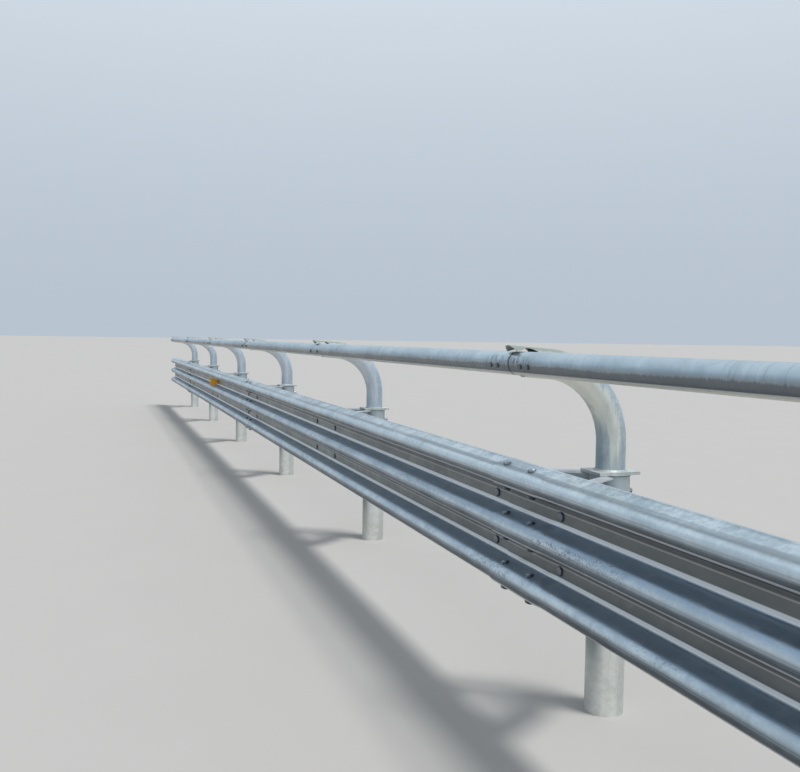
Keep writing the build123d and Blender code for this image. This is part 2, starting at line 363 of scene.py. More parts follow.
class ZincEffects:
    """The effects that every zinc finish is mixed from, each built once."""

    pale_run: Triple = (0.86, 0.89, 0.91)
    dull_run: Triple = (0.16, 0.18, 0.20)
    underside_shade: Triple = (0.085, 0.10, 0.125)
    dust: Triple = (0.50, 0.45, 0.37)
    mud: Triple = (0.33, 0.27, 0.20)
    splash_height: float = 0.42

    def __init__(self) -> None:
        """Build the groups."""
        self.bloom = self._bloom()
        self.runs = self._runs()
        self.weather_and_shade = self._weather_and_shade()

    def _bloom(self) -> bpy.types.NodeTree:
        """Build cloudy zinc with a faint crystal pattern and fine frosting.

        Returns:
            The group.
        """
        tree, takes, gives = new_group(
            "zinc_bloom",
            {"Place": VECTOR, "Light": COLOUR, "Dark": COLOUR, "Crystal": NUMBER},
            {"Color": COLOUR, "Sheen": NUMBER, "Height": NUMBER},
        )
        place = takes["Place"]
        broad = tree.noise(place, 3.2, 5.0, 0.55, 0.4)
        patch = tree.noise(place, 17.0, 6.0, 0.6, 0.8)
        frost = tree.noise(place, 420.0, 2.0, 0.6)
        drift = tree.read("Color", "ShaderNodeTexNoise", {"Vector": place, "Scale": 60.0})
        drift = tree.read(0, "ShaderNodeVectorMath", {0: drift, "Scale": 0.012}, operation="SCALE")
        warped = tree.read(0, "ShaderNodeVectorMath", {0: place, 1: drift}, operation="ADD")
        cells = tree.read("Color", "ShaderNodeTexVoronoi", {"Vector": warped, "Scale": 95.0})
        grey = tree.read(0, "ShaderNodeRGBToBW", {0: cells})
        cloud = (broad * 0.55 + patch * 0.45).ramp((0.36, 0.64))
        total = cloud.swayed(grey, takes["Crystal"]).swayed(frost, 0.35)
        total = tree.read(0, "ShaderNodeClamp", {"Value": total})
        color = tree.mix(total, takes["Dark"], takes["Light"])
        tree.feed(gives, {"Color": color, "Sheen": 0.06 - total * 0.12, "Height": patch * 0.7 + frost * 0.3})
        return tree.tree

    def _runs(self) -> bpy.types.NodeTree:
        """Build streaks where the zinc ran, paler in places and dull in others.

        Returns:
            The group.
        """
        tree, takes, gives = new_group(
            "zinc_runs",
            {"Place": VECTOR, "Draw": VECTOR, "Color": COLOUR, "Pale": NUMBER, "Dull": NUMBER},
            {"Color": COLOUR, "Height": NUMBER},
        )
        place = takes["Place"]
        streak = tree.noise(place, takes["Draw"], 4.0, 0.55, 0.25)
        pale = streak.ramp((0.54, 0.72)) * tree.noise(place, 2.1, 3.0, 0.5).ramp((0.42, 0.62))
        dull = streak.ramp((0.46, 0.30)) * tree.noise(place, 1.4, 3.0, 0.6, 1.2).ramp((0.40, 0.62))
        lit = tree.mix(pale * takes["Pale"], takes["Color"], self.pale_run)
        color = tree.mix(dull * takes["Dull"], lit, self.dull_run)
        tree.feed(gives, {"Color": color, "Height": pale * 0.8 + streak * 0.2})
        return tree.tree

    def _weather_and_shade(self) -> bpy.types.NodeTree:
        """Build painted shade on the undersides, dust on what faces up, and road splash near the ground.

        Returns:
            The group.
        """
        tree, takes, gives = new_group(
            "roadside_weather_and_shade",
            {"Place": VECTOR, "Color": COLOUR, "Under": NUMBER, "Dust": NUMBER, "Splash": NUMBER},
            {"Color": COLOUR, "Sheen": NUMBER},
        )
        facing_up = tree.axes(tree.normal())[2]
        height = tree.axes(takes["Place"])[2]
        spots = tree.noise(takes["Place"], 30.0, 5.0, 0.65, 0.6)
        broad = tree.noise(takes["Place"], 4.0, 4.0, 0.6)
        # painted shade: faces turned downward are darkened toward a dark blue-grey
        under = facing_up.ramp((0.12, -0.75)) * takes["Under"]
        dust = facing_up.ramp((0.2, 0.95)) * spots.ramp((0.40, 0.68)) * takes["Dust"]
        specks = (broad * 0.5 + spots * 0.5).ramp((0.42, 0.60))
        splash = height.ramp((self.splash_height, 0.0)) * specks * takes["Splash"]
        color = tree.mix(under, takes["Color"], self.underside_shade)
        color = tree.mix(splash, tree.mix(dust, color, self.dust), self.mud)
        tree.feed(gives, {"Color": color, "Sheen": (dust + splash) * 0.5})
        return tree.tree


@dataclass
class Coat:
    """The zinc of one material while its own marks go on."""

    tree: Tree
    place: Field
    colour: Field
    height: Field
    chalk: Field | None = None

    def paint(self, mask: Field, tone: Triple) -> None:
        """Lay a plain tone over the colour by a mask."""
        self.colour = self.tree.mix(mask, self.colour, tone)

    def dry(self, mask: Field) -> None:
        """Hide the metal behind chalky zinc by a mask."""
        self.chalk = mask if self.chalk is None else self.chalk.most(mask)


@dataclass(frozen=True)
class ZincFinish:
    """One hot dipped zinc finish."""

    name: str
    light: Triple = (0.62, 0.66, 0.70)
    dark: Triple = (0.42, 0.46, 0.50)
    crystal: float = 0.25
    run_axis: RunAxis = RunAxis.DOWN
    pale: float = 0.35
    dull: float = 0.30
    # strength of the painted shade on faces turned downward
    under: float = 0.5
    dust: float = 0.2
    splash: float = 0.3
    metallic: float = 0.55
    roughness: float = 0.42
    bump: float = 0.25
    bump_depth: float = 0.0016
    run_depth: float = 1.2
    sizes: RowSizes = RowSizes()

    def build(self, effects: ZincEffects) -> bpy.types.Material:
        """Mix the finish.

        Args:
            effects: The shared effects.

        Returns:
            The material.
        """
        material, tree, place, shader = new_material(self.name)
        inputs = {"Place": place, "Light": self.light, "Dark": self.dark, "Crystal": self.crystal}
        bloom = tree.reads("ShaderNodeGroup", inputs, node_tree=effects.bloom)
        inputs = {"Place": place, "Draw": self.run_axis.value, "Pale": self.pale, "Dull": self.dull}
        runs = tree.reads("ShaderNodeGroup", inputs | {"Color": bloom["Color"]}, node_tree=effects.runs)
        coat = Coat(tree, place, runs["Color"], runs["Height"])
        self.marks(coat)
        inputs = {"Place": place, "Under": self.under, "Dust": self.dust, "Splash": self.splash}
        weather_and_shade = tree.reads("ShaderNodeGroup", inputs | {"Color": coat.colour}, node_tree=effects.weather_and_shade)
        height = coat.height * self.run_depth + bloom["Height"]
        shown = {
            "Base Color": weather_and_shade["Color"],
            "Metallic": self.metallic if coat.chalk is None else (1.0 - coat.chalk) * self.metallic,
            "Roughness": bloom["Sheen"] + weather_and_shade["Sheen"] + self.roughness,
            "Normal": tree.bump(height, self.bump, self.bump_depth),
        }
        tree.feed(shader, shown)
        return material

    def marks(self, coat: Coat) -> None:
        """Put on the marks of this finish alone, of which a plain one has none."""


@dataclass(frozen=True)
class Stripe:
    """A line of painted light that runs along the beam on every wave, pale for a highlight and dark for
    shade.
    """

    over_crest: float
    half_width: float
    strength: float
    tone: Triple
    chalk: float


class BeamSkin:
    """The beam's surface, read for what its marks are placed by."""

    road_side: Span = (0.15, -0.15)
    upper_lip: Span = (0.93, 0.955)
    top_crest: Span = (0.86, 0.90)
    lowest_crest: Span = (0.66, 0.60)

    def __init__(self, coat: Coat, sizes: RowSizes) -> None:
        """Read the surface.

        Args:
            coat: The coat that the marks go on.
            sizes: The row's sizes.
        """
        tree = coat.tree
        self.x, y, self.z = tree.axes(coat.place)
        _, across, self.rise = tree.axes(tree.normal())
        pitch = sizes.wave_pitch
        self.over_crest = (self.z - (sizes.beam_middle - pitch * 2.5)) % pitch - pitch / 2.0
        self.out = -sizes.beam_back - y
        self.road = across.ramp(self.road_side)
        self.lip = self.z.ramp(self.upper_lip)
        self.top = self.z.ramp(self.top_crest)
        self.lowest = self.z.ramp(self.lowest_crest)
        self.broken = tree.noise(coat.place, (1.1, 45.0, 45.0), 4.0, 0.6)
        self.mottle = tree.noise(coat.place, (4.0, 22.0, 22.0), 5.0, 0.6, 0.4)


@dataclass(frozen=True)
class BeamFinish(ZincFinish):
    """Zinc on the rolled beam, with painted highlights on its crests and fillets, painted shade in the waves,
    and specks and scratches.
    """

    crest_face: Span = (0.064, 0.080)
    crest_skin: Span = (0.060, 0.070)
    crest_rub: Span = (0.070, 0.083)
    valley_floor: Span = (0.018, 0.011)
    near_end: Span = (6.75, 7.5)
    valley_shade_run: Span = (3.0, 7.0)
    trough_shade_run: Span = (1.0, 7.1)
    rash_place: float = 6.38
    rash_reach: Span = (0.27, 0.12)
    rash_drop: float = 0.004
    rash_height: Span = (0.036, 0.022)
    wave_depth: float = 2.2
    crest_highlight_tone: Triple = (0.785, 0.895, 0.95)
    near_end_shade_tone: Triple = (0.36, 0.45, 0.51)
    road_face_shade_tone: Triple = (0.200, 0.208, 0.208)
    sky_tint_tone: Triple = (0.54, 0.66, 0.80)
    crest_under_shade_tone: Triple = (0.062, 0.078, 0.088)
    trough_shade_tone: Triple = (0.275, 0.375, 0.490)
    dim_tone: Triple = (0.25, 0.30, 0.34)
    speck_tone: Triple = (0.13, 0.17, 0.22)
    blot_tone: Triple = (0.16, 0.21, 0.27)
    scratch_tone: Triple = (0.80, 0.83, 0.86)
    painted_light_stripes: tuple[Stripe, ...] = (
        # painted highlight along each valley's lower fillet
        Stripe(0.0670, 0.0075, 1.00, (0.76, 0.81, 0.84), 0.55),
        # painted highlight: a pale line under each crest
        Stripe(-0.0300, 0.0050, 1.00, (0.95, 0.96, 0.93), 1.00),
        # painted shade: a dark line lower under each crest
        Stripe(-0.0700, 0.0045, 0.55, (0.055, 0.058, 0.062), 0.0),
        # painted highlight: a faint pale line just below that
        Stripe(-0.0790, 0.0022, 0.60, (0.42, 0.43, 0.43), 0.60),
    )

    def marks(self, coat: Coat) -> None:
        """Put on the painted highlight of the crests, the painted shade of the near end and the waves, the
        painted lines of highlight and shade, and the specks.

        Args:
            coat: The coat that the marks go on.
        """
        skin = BeamSkin(coat, self.sizes)
        # painted highlight: the crest faces are lightened toward a pale sky blue, most on the upper lip
        crest_highlight = skin.out.ramp(self.crest_face) * (skin.lip * 0.35 + 0.65)
        coat.paint(crest_highlight * skin.mottle.ramp((0.25, 0.65), (0.35, 0.62)), self.crest_highlight_tone)
        # painted shade: the beam darkens toward its near end at high X
        coat.paint(skin.x.ramp(self.near_end, (0.0, 0.26)), self.near_end_shade_tone)
        self._waves(coat, skin)
        self._painted_light_stripes(coat, skin)
        self._specks(coat, skin)
        waves = coat.tree.noise(coat.place, (6.0, 26.0, 26.0), 3.0, 0.5, 0.6)
        coat.height = waves * self.wave_depth + coat.height

    def _waves(self, coat: Coat, skin: BeamSkin) -> None:
        """Paint shade on the road-facing valley floors, a sky reflection on the crests as they turn level,
        and shade on the undersides and in the troughs.

        Args:
            coat: The coat that the marks go on.
            skin: The beam's surface.
        """
        mottle, road, below_lip = skin.mottle, skin.road, 1.0 - skin.lip
        tilt = skin.rise - skin.lowest * 0.09
        # painted shade on the road-facing valley floors, weaker at low X
        valley_shade = skin.out.ramp(self.valley_floor) * mottle.ramp((0.25, 0.60), (0.78, 0.97)) * below_lip
        valley_shade = valley_shade * road * skin.x.ramp(self.valley_shade_run, (0.84, 1.0))
        # painted sky reflection: a blue tint where the crests turn from facing up to level
        sky_tint = skin.rise.ramp((0.35, -0.05), (0.0, 0.60)) * road
        sky_tint = sky_tint * skin.out.ramp(self.crest_skin) * (1.0 - skin.top * 0.5)
        # painted shade on the undersides of the crests
        under = (tilt + skin.top * 0.04).ramp((0.22, -0.22)) * road * mottle.ramp((0.25, 0.65), (0.97, 0.78))
        cloud = coat.tree.noise(coat.place, (9.0, 30.0, 30.0), 6.0, 0.65, 0.8)
        # painted shade in the troughs below the top crest, lighter at low X
        trough_shade = (tilt - skin.lowest * 0.12).ramp((0.18, 0.72)) * road * below_lip
        trough_shade = trough_shade * mottle.ramp((0.30, 0.70), (0.98, 0.84)) * cloud.ramp((0.45, 0.66), (1.0, 0.86))
        trough_shade = trough_shade * skin.x.ramp(self.trough_shade_run, (0.30, 1.0)) * (1.0 - skin.lowest * 0.08)
        coat.paint(valley_shade, self.road_face_shade_tone)
        coat.paint(sky_tint, self.sky_tint_tone)
        coat.paint(under, self.crest_under_shade_tone)
        coat.paint(trough_shade, self.trough_shade_tone)

    def _painted_light_stripes(self, coat: Coat, skin: BeamSkin) -> None:
        """Draw the broken lines of painted highlight and painted shade on every wave, and the dim one on the
        upper lip.

        Args:
            coat: The coat that the marks go on.
            skin: The beam's surface.
        """
        for stripe in self.painted_light_stripes:
            edge = (stripe.half_width * 1.25, stripe.half_width * 0.7)
            mask = abs(skin.over_crest - stripe.over_crest).ramp(edge) * skin.road
            mask = mask * skin.broken.ramp((0.22, 0.46), (stripe.strength * 0.72, stripe.strength))
            coat.paint(mask, stripe.tone)
            coat.dry(mask * stripe.chalk)
        dim = skin.out.ramp((0.044, 0.054)) * skin.out.ramp((0.078, 0.066))
        coat.paint(dim * skin.lip * skin.broken.ramp((0.36, 0.58), (0.22, 0.78)), self.dim_tone)

    def _specks(self, coat: Coat, skin: BeamSkin) -> None:
        """Speckle the crests, blot the rash on the middle one, and scratch what stands proud.

        Args:
            coat: The coat that the marks go on.
            skin: The beam's surface.
        """
        tree, place = coat.tree, coat.place
        level = abs(skin.z - (self.sizes.beam_middle - self.rash_drop))
        rash = abs(skin.x - self.rash_place).ramp(self.rash_reach) * level.ramp(self.rash_height)
        patch = tree.noise(place, (1.9, 6.0, 6.0), 3.0).ramp((0.48, 0.60)) * (1.0 - skin.top * 0.75)
        patch = patch.most(rash) * (skin.road * 0.7 + 0.3) * skin.out.ramp((0.058, 0.068))
        specks = tree.noise(place, 120.0, 3.0, 0.7, 0.3).ramp((0.54, 0.62), (0.0, 0.85))
        blots = tree.noise(place, (45.0, 80.0, 80.0), 4.0, 0.7, 0.5).ramp((0.52, 0.59), (0.0, 0.60))
        scratches = tree.noise(place, (3.0, 260.0, 260.0), 3.0, 0.7, 0.6).ramp((0.60, 0.70), (0.0, 0.30))
        coat.paint(specks * patch, self.speck_tone)
        coat.paint(blots * rash * skin.road, self.blot_tone)
        coat.paint(scratches * skin.out.ramp(self.crest_rub), self.scratch_tone)


@dataclass(frozen=True)
class RailFinish(ZincFinish):
    """Zinc on the top rail, with painted shade on its lower half under a ragged edge, a painted pale
    reflection below it, and dirt by its joints.
    """

    near_end: Span = (6.3, 7.5)
    shade_height: Span = (0.018, -0.006)
    ragged_shade_height: Span = (0.003, -0.009)
    reflection_band_height: float = -0.0375
    reflection_band_width: Span = (0.0080, 0.0045)
    smear_height: float = 0.002
    smear_width: Span = (0.034, 0.018)
    smear_reach: Span = (0.22, 0.10)
    ring_reach: Span = (0.012, 0.004)
    near_end_shade_tone: Triple = (0.34, 0.42, 0.48)
    shade_tone: Triple = (0.105, 0.112, 0.122)
    reflection_band_tone: Triple = (0.97, 0.95, 0.81)
    dirt_tone: Triple = (0.10, 0.11, 0.12)

    def marks(self, coat: Coat) -> None:
        """Put on the painted shade with its ragged edge and the painted pale reflection below the rail's
        middle, and the smears at each joint.

        Args:
            coat: The coat that the marks go on.
        """
        tree, place = coat.tree, coat.place
        x, _, z = tree.axes(place)
        over_axis = z - self.sizes.rail_height
        teeth = tree.noise(place, (150.0, 3.0, 12.0), 4.0, 0.75)
        swing = tree.noise(place, (3.0, 1.0, 1.0), 2.0)
        smear = tree.noise(place, (75.0, 10.0, 15.0), 5.0, 0.75, 1.2)
        # painted shade on the rail's lower half, under a ragged edge
        ragged_shade = over_axis.swayed(teeth, 0.024).swayed(swing, 0.016).ramp(self.ragged_shade_height, (0.0, 0.80))
        lower = ragged_shade.most(over_axis.ramp(self.shade_height, (0.0, 0.45)))
        # painted reflection: a pale band along the rail's underside
        reflection_band = abs(over_axis - self.reflection_band_height).ramp(self.reflection_band_width, (0.0, 0.85))
        tube = self.sizes.bay * 2.0
        from_joint = abs((x + 4.5 * tube) % tube - tube / 2.0)
        dirt = from_joint.ramp(self.smear_reach) * smear.ramp((0.51, 0.57))
        dirt = dirt * abs(over_axis - self.smear_height).ramp(self.smear_width)
        # painted shade: the rail darkens toward its near end at high X
        coat.paint(x.ramp(self.near_end, (0.0, 0.42)), self.near_end_shade_tone)
        coat.paint(lower, self.shade_tone)
        coat.paint(reflection_band, self.reflection_band_tone)
        coat.paint(dirt.most(from_joint.ramp(self.ring_reach)) * 0.80, self.dirt_tone)
        coat.dry(reflection_band)


@dataclass(frozen=True)
class PipeZinc(ZincFinish):
    """Zinc on an upright pipe, whose marks run down it and keep to one side of it."""

    field_side_way: Triple = (0.555, 0.832, 0.0)

    def aside(self, coat: Coat, drawn: Field, reach: float) -> Field:
        """Tell how squarely the pipe's skin faces the field side, with a ragged edge."""
        return coat.tree.facing(self.field_side_way).swayed(drawn, reach)


@dataclass(frozen=True)
class PostFinish(PipeZinc):
    """Zinc on the driven posts, bluer and darker under the flange than near the ground, with painted shade on
    one flank and one rim.
    """

    blue_drop: Span = (0.45, 0.08)
    flank_shade_height: Span = (0.12, 0.40)
    blue_tone: Triple = (0.40, 0.49, 0.55)
    flank_shade_tone: Triple = (0.125, 0.170, 0.180)
    rim_shade_tone: Triple = (0.33, 0.37, 0.38)

    def marks(self, coat: Coat) -> None:
        """Put on the bluer, darker zinc of the upper part, the painted shade on the road-side flank and the
        painted shade on the rim.

        Args:
            coat: The coat that the marks go on.
        """
        height = coat.tree.axes(coat.place)[2]
        drawn = coat.tree.noise(coat.place, (48.0, 48.0, 4.0), 4.0, 0.6, 0.4)
        aside = self.aside(coat, drawn, 0.40)
        start, end = (self.sizes.post_top - drop for drop in self.blue_drop)
        # painted shade on the road-side flank, stronger higher up
        flank = aside.ramp((0.05, -0.60)) * height.ramp(self.flank_shade_height, (0.25, 0.95))
        coat.paint(height.swayed(drawn, 0.35).ramp((start, end), (0.0, 0.75)), self.blue_tone)
        coat.paint(flank, self.flank_shade_tone)
        # painted shade on the rim that turns toward the field side
        coat.paint(aside.ramp((0.45, 0.85), (0.0, 0.40)), self.rim_shade_tone)


@dataclass(frozen=True)
class PipeFinish(PipeZinc):
    """Zinc on the bent pipes, thick and creamy round the bend, with painted light and shade on its sides and
    top end, and blisters at the back.
    """

    cream_over_flange: Span = (0.085, 0.230)
    cream_height: Span = (1.375, 1.300)
    near_run: Span = (3.6, 5.6)
    thick_foot: Span = (1.12, 1.17)
    thick_head: Span = (1.31, 1.27)
    toe_out: Span = (-0.350, -0.385)
    toe_height: Span = (1.372, 1.385)
    crown_height: Span = (1.385, 1.425)
    cream_tone: Triple = (0.84, 0.86, 0.77)
    outer_tone: Triple = (0.40, 0.49, 0.49)
    inner_bend_reflection_tone: Triple = (0.97, 0.95, 0.83)
    blue_tone: Triple = (0.36, 0.46, 0.53)
    distant_sky_reflection_tone: Triple = (0.60, 0.68, 0.79)
    flank_shade_tone: Triple = (0.26, 0.34, 0.37)
    mottle_tone: Triple = (0.33, 0.42, 0.49)
    thick_tone: Triple = (0.90, 0.94, 0.91)
    tongue_shade_tone: Triple = (0.185, 0.215, 0.195)
    blister_tone: Triple = (0.22, 0.27, 0.33)

    def marks(self, coat: Coat) -> None:
        """Put on the creamy runs of the bend, the pale rims, the painted reflections under the bend and on
        the far pipes, the painted shade on the flank and the top end, and the blistered back.

        Args:
            coat: The coat that the marks go on.
        """
        tree, place = coat.tree, coat.place
        x, y, z = tree.axes(place)
        _, facing_back, facing_up = tree.axes(tree.normal())
        drawn = tree.noise(place, (42.0, 42.0, 5.0), 4.0, 0.6, 0.5)
        mottle = tree.noise(place, (70.0, 70.0, 30.0), 4.0, 0.7, 0.4)
        blisters = tree.noise(place, 110.0, 3.0, 0.65, 0.5)
        aside = self.aside(coat, drawn, 0.70)
        near = x.ramp(self.near_run)
        column = abs(aside - 0.28).ramp((0.42, 0.12))
        lift = z.swayed(drawn, 0.20) + column * 0.135
        low, high = (self.sizes.flange_top + over for over in self.cream_over_flange)
        cream = lift.ramp((low, high)) * drawn.ramp((0.30, 0.62), (0.55, 0.95))
        cream = cream * z.ramp(self.cream_height, (0.10, 0.85)) * aside.ramp((0.45, 0.80), (1.0, 0.30))
        cream = cream * (near * 0.45 + 0.55)
        # painted reflection of the pale ground on the downward faces of the bend
        inner_bend_reflection = facing_up.ramp((-0.12, -0.50), (0.0, 0.80))
        thick = abs(aside + 0.42).ramp((0.15, 0.06)) * z.ramp(self.thick_foot)
        toe = y.ramp(self.toe_out) * z.ramp(self.toe_height)
        # painted shade on the pipe's top end and on the toe beside the rail
        tongue = z.swayed(drawn, 0.06).ramp(self.crown_height).most(toe) * 0.90
        blistered = blisters.ramp((0.52, 0.64), (0.0, 0.42)) * facing_back.ramp((0.20, 0.60))
        coat.paint(cream, self.cream_tone)
        coat.paint(facing_up.ramp((0.05, 0.55), (0.0, 0.50)), self.outer_tone)
        coat.paint(inner_bend_reflection, self.inner_bend_reflection_tone)
        coat.paint(lift.ramp((high, low), (0.0, 0.45)), self.blue_tone)
        # painted sky reflection: the pipes farther along the row turn pale blue
        coat.paint((1.0 - near) * 0.60, self.distant_sky_reflection_tone)
        # painted shade on the pipe's road-side flank, stronger toward high X
        coat.paint(aside.ramp((-0.35, -0.80)) * (near * 0.42 + 0.08), self.flank_shade_tone)
        coat.paint(aside.ramp((0.50, 0.78)) * mottle.ramp((0.40, 0.58), (0.20, 0.75)), self.mottle_tone)
        coat.paint(thick * z.ramp(self.thick_head, (0.0, 0.60)), self.thick_tone)
        coat.paint(tongue, self.tongue_shade_tone)
        coat.paint(blistered, self.blister_tone)
        coat.dry((cream * 0.75).most(tongue, inner_bend_reflection))


@dataclass(frozen=True)
class FastenerFinish(ZincFinish):
    """Zinc on the bolts, with painted shade on their sides and on the faces toward the road."""

    before_beam: Span = (0.010, -0.002)
    lip_bolts: Span = (0.940, 0.960)
    rail_bolts: Span = (1.1, 1.2)
    road_face_shade_tone: Triple = (0.085, 0.090, 0.095)
    bolt_flank_shade_tone: Triple = (0.026, 0.031, 0.038)

    def marks(self, coat: Coat) -> None:
        """Paint shade on what doesn't face the way that the heads and nuts face, and on the faces toward the
        road.

        Args:
            coat: The coat that the marks go on.
        """
        tree = coat.tree
        _, y, z = tree.axes(coat.place)
        sine, cosine = math.sin(self.sizes.slope), math.cos(self.sizes.slope)
        ways = (tuple(TO_ROAD), (0.0, -cosine, sine), (0.0, -cosine, -sine))
        road, above, below = (abs(tree.facing(way)) for way in ways)
        start, end = (over - self.sizes.beam_back for over in self.before_beam)
        # painted shade on the sides of heads and nuts, which turn away from their axes
        bolt_flank_shade = road.most(above, below).ramp((0.965, 0.80), (0.0, 0.92)) * y.ramp((start, end), (0.25, 1.0))
        bolt_flank_shade = bolt_flank_shade * z.ramp(self.lip_bolts, (1.0, 0.50)).most(z.ramp(self.rail_bolts))
        # painted shade on the faces that face the road
        coat.paint(tree.axes(tree.normal())[1].ramp((-0.80, -0.96), (0.0, 0.72)), self.road_face_shade_tone)
        coat.paint(bolt_flank_shade, self.bolt_flank_shade_tone)


@dataclass(frozen=True)
class AmberFinish:
    """Amber sheeting with its small cells."""

    name: str = "amber_sheeting"
    colour: Triple = (0.98, 0.52, 0.02)
    deep: Triple = (0.82, 0.36, 0.01)
    soil_tone: Triple = (0.36, 0.24, 0.10)
    cells: float = 190.0
    disorder: float = 0.12
    roughness: float = 0.28
    coat: float = 0.5
    bump: float = 0.3
    bump_depth: float = 0.0008

    def build(self) -> bpy.types.Material:
        """Mix the finish.

        Returns:
            The material.
        """
        material, tree, place, shader = new_material(self.name)
        inputs = {"Vector": place, "Scale": self.cells, "Randomness": self.disorder}
        edge = tree.read("Distance", "ShaderNodeTexVoronoi", inputs, feature="DISTANCE_TO_EDGE")
        wall = edge.ramp((0.06, 0.16))
        soil = tree.noise(place, 38.0, 4.0, 0.6).ramp((0.50, 0.74), (0.0, 0.35))
        shown = {
            "Base Color": tree.mix(soil, tree.mix(wall, self.deep, self.colour), self.soil_tone),
            "Roughness": self.roughness,
            "Coat Weight": self.coat,
            "Normal": tree.bump(wall, self.bump, self.bump_depth),
        }
        tree.feed(shader, shown)
        return material


@dataclass
class Finishes:
    """All the materials of the row, by the record's slots."""

    effects: ZincEffects = field(default_factory=ZincEffects)
    by_slot: dict[str, bpy.types.Material] = field(default_factory=dict)
    weld: bpy.types.Material | None = None
    bolt: bpy.types.Material | None = None

    def build(self) -> "Finishes":
        """Build every finish once.

        Returns:
            The set.
        """
        zinc = {
            "post_zinc": PostFinish(
                "zinc_driven_post", (0.90, 0.92, 0.88), (0.78, 0.81, 0.78), under=0.2, metallic=0.50
            ),
            "pipe_zinc": PipeFinish(
                "zinc_bent_pipe", (0.68, 0.73, 0.74), (0.42, 0.49, 0.52), pale=0.75, under=0.15, dust=0.10
            ),
            "bracket_zinc": ZincFinish(
                "zinc_folded_bracket", (0.62, 0.66, 0.68), (0.42, 0.46, 0.49), dust=0.28
            ),
            "flange_zinc": ZincFinish("zinc_flange_plate", (0.66, 0.70, 0.70), (0.46, 0.50, 0.51), dust=0.35),
            "cradle_zinc": ZincFinish("zinc_cradle_plate", (0.60, 0.64, 0.67), (0.42, 0.46, 0.49)),
            "beam_zinc": BeamFinish(
                "zinc_rolled_beam",
                (0.655, 0.75, 0.80),
                (0.34, 0.43, 0.50),
                crystal=0.50,
                run_axis=RunAxis.ALONG_THE_ROW,
                pale=0.30,
                dull=0.22,
                under=0.55,
                dust=0.14,
                metallic=0.80,
                roughness=0.37,
            ),
            "rail_zinc": RailFinish(
                "zinc_top_rail",
                (0.555, 0.67, 0.735),
                (0.41, 0.51, 0.575),
                crystal=0.15,
                run_axis=RunAxis.ROUND_THE_TUBE,
                pale=0.45,
                under=0.45,
                dust=0.06,
                metallic=0.80,
                roughness=0.31,
            ),
            "sleeve_zinc": ZincFinish("zinc_inner_sleeve", (0.56, 0.60, 0.63), (0.40, 0.44, 0.47)),
        }
        for slot, finish in zinc.items():
            self.by_slot[slot] = finish.build(self.effects)
        self.by_slot["reflector_amber"] = AmberFinish().build()
        self.weld = ZincFinish(
            "zinc_over_weld",
            (0.50, 0.54, 0.53),
            (0.30, 0.34, 0.34),
            crystal=0.1,
            metallic=0.35,
            roughness=0.60,
            bump=0.5,
        ).build(self.effects)
        self.bolt = FastenerFinish(
            "zinc_fastener",
            (0.46, 0.55, 0.64),
            (0.28, 0.34, 0.40),
            crystal=0.1,
            under=0.7,
            dust=0.04,
            metallic=0.7,
            roughness=0.34,
        ).build(self.effects)
        return self


# Meshes


def turned_to(place: Vector, axis: Vector, about: float = 0.0) -> Matrix:
    """Matrix that stands a piece made along +Z at a place.

    Args:
        place: Where its foot goes.
        axis: The way its +Z points.
        about: Turn about that axis, in radians.

    Returns:
        The matrix.
    """
    turn = UP.rotation_difference(axis.normalized()).to_matrix().to_4x4()
    return Matrix.Translation(place) @ turn @ Matrix.Rotation(about, 4, "Z")


def linked(name: str, data: bpy.types.ID) -> bpy.types.Object:
    """Make an object of some data in the scene.

    Args:
        name: Name of the object.
        data: Its mesh, curve, lamp or camera.

    Returns:
        The object.
    """
    made = bpy.data.objects.new(name, data)
    bpy.context.scene.collection.objects.link(made)
    return made


def spun(outline: list[Span], steps: int, closed: bool = False) -> bmesh.types.BMesh:
    """Spin an outline of (radius, height) points about +Z into a turned form.

    Args:
        outline: Points from the foot round to the top.
        steps: Steps of the full turn.
        closed: Whether the last point joins the first, as in a ring.

    Returns:
        The part.
    """
    part = bmesh.new()
    ends = [part.verts.new((radius, 0.0, height)) for radius, height in outline]
    after = ends[1:] + ends[:1] if closed else ends[1:]
    edges = [part.edges.new(pair) for pair in zip(ends, after)]
    bmesh.ops.spin(
        part, geom=ends + edges, cent=(0.0, 0.0, 0.0), axis=UP, angle=math.tau, steps=steps, use_merge=True
    )
    bmesh.ops.remove_doubles(part, verts=part.verts, dist=1e-6)
    return part


def eased(part: bmesh.types.BMesh, edges: list[bmesh.types.BMEdge], offset: float, segments: int) -> None:
    """Round some edges of a part.

    Args:
        part: The part.
        edges: The edges.
        offset: How far the rounding reaches from them.
        segments: Steps of the rounding.
    """
    how = {"offset_type": "OFFSET", "affect": "EDGES", "profile": 0.5, "material": -1}
    bmesh.ops.bevel(part, geom=edges, offset=offset, segments=segments, **how)


@dataclass
class Workpiece:
    """A mesh in the making, which ends as one object of the row."""

    name: str
    material: bpy.types.Material
    slot: str
    mesh: bmesh.types.BMesh = field(default_factory=bmesh.new)
    crease: float = math.radians(38.0)

    def add(self, part: bmesh.types.BMesh, at: Matrix) -> None:
        """Take in a part at a place, with its faces turned outward.

        Args:
            part: The part, which is used up.
            at: Where it stands.
        """
        bmesh.ops.recalc_face_normals(part, faces=part.faces)
        bmesh.ops.transform(part, matrix=at, verts=part.verts)
        held = bpy.data.meshes.new("part")
        part.to_mesh(held)
        part.free()
        self.mesh.from_mesh(held)
        bpy.data.meshes.remove(held)

    def done(self) -> None:
        """Make the object, ride it on the row and report it."""
        data = bpy.data.meshes.new(self.name)
        self.mesh.to_mesh(data)
        self.mesh.free()
        data.shade_smooth()
        data.set_sharp_from_angle(angle=self.crease)
        data.materials.append(self.material)
        piece = linked(self.name, data)
        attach(piece, "root")
        LOG.info("%s: %d faces", self.name, len(data.polygons))


